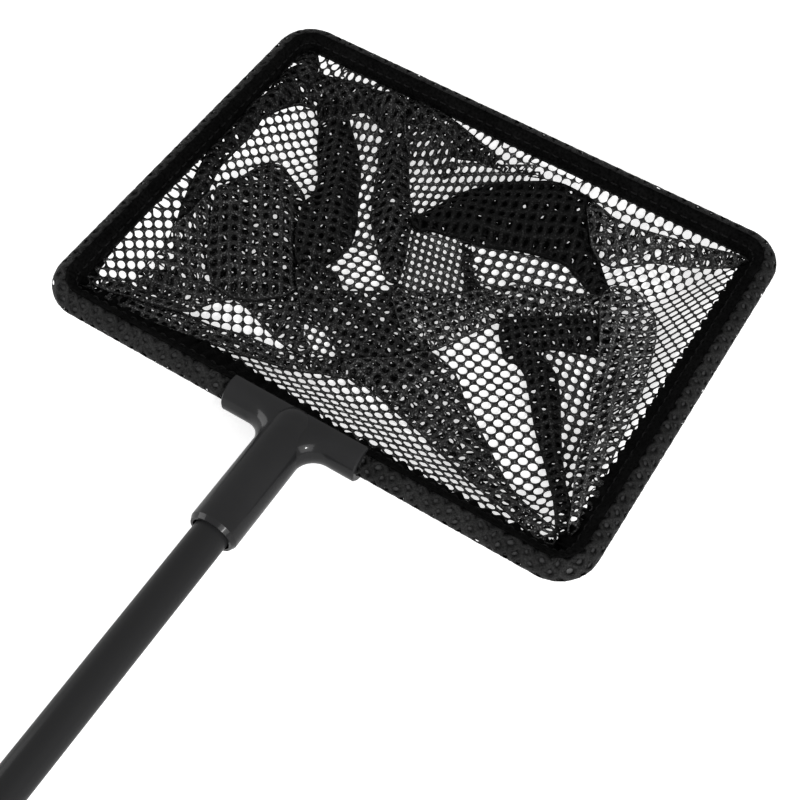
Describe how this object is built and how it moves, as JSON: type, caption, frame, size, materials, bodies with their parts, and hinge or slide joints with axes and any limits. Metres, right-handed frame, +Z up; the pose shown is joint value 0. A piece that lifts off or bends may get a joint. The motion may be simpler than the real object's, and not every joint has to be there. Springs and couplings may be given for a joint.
{
  "type": "aquarium fish net",
  "caption": "Hand net with a fine mesh bag on a rectangular wire frame, a moulded tee and a telescopic twist-lock handle.",
  "frame": {"origin": "centre of the underside, on the surface that the net lies on", "axes": "+Y along the handle towards the net's far side, +X along the frame's long side, +Z up with the opening on top"},
  "size_m": [0.156, 0.46, 0.024],
  "materials": {
    "steel_wire": "drawn steel wire, sealed inside the sleeve and the tee",
    "sleeve_plastic": "soft black plastic tube",
    "mesh_fabric": "black knitted polyester mesh with round holes",
    "thread": "black polyester sewing thread",
    "moulded_plastic": "charcoal moulded plastic, semi-matt",
    "tube_plastic": "charcoal extruded plastic tube, semi-matt",
    "bush_plastic": "natural white sliding plastic",
    "grip_rubber": "soft black moulded rubber"
  },
  "bodies": {
    "handle": {"rear_tube": "tube_plastic", "lock_collet": "moulded_plastic", "grip_sleeve": "grip_rubber", "end_cap": "moulded_plastic"},
    "net_head": {"frame_wire": "steel_wire", "wire_sleeve": "sleeve_plastic", "hem": "mesh_fabric", "seam_thread": "thread", "net_bag": "mesh_fabric", "tee_connector": "moulded_plastic", "front_tube": "tube_plastic", "guide_bush": "bush_plastic"},
    "lock_nut": {"lock_nut": "moulded_plastic"}
  },
  "joints": [
    {"name": "handle_slide", "type": "slide", "parent": "handle", "child": "net_head", "axis": [0, -1, 0], "range_m": [0, 0.1]},
    {"name": "lock_turn", "type": "hinge", "parent": "handle", "child": "lock_nut", "pos_m": [0, -0.04, 0.012], "axis": [0, 1, 0], "range_deg": [0, 90]}
  ]
}
